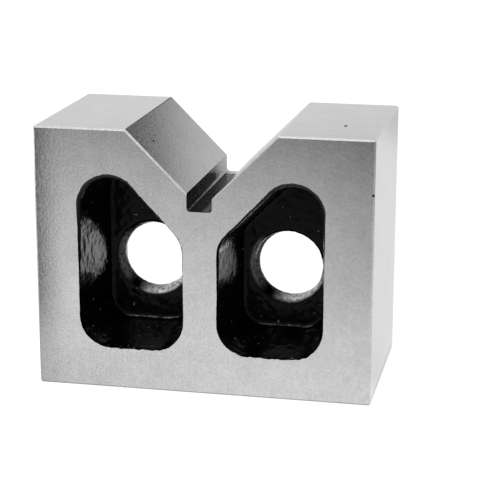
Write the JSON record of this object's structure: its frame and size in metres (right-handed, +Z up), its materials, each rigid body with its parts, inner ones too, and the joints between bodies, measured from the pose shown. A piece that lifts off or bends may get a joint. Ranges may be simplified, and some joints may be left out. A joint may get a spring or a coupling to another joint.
{
  "type": "v block",
  "caption": "Ground cast iron V block with a right-angled groove that holds round bars for marking out, inspection and drilling.",
  "frame": {"origin": "middle of the ground base", "axes": "+X across the V, +Y along the V from the front face to the rear face, +Z up out of the V"},
  "size_m": [0.1, 0.055, 0.0785],
  "materials": {
    "cast_iron": "outside ground to a fine satin grey, cored recesses and relief slot painted gloss black over the rough casting"
  },
  "bodies": {
    "root": {"v_block": "cast_iron"}
  },
  "joints": []
}
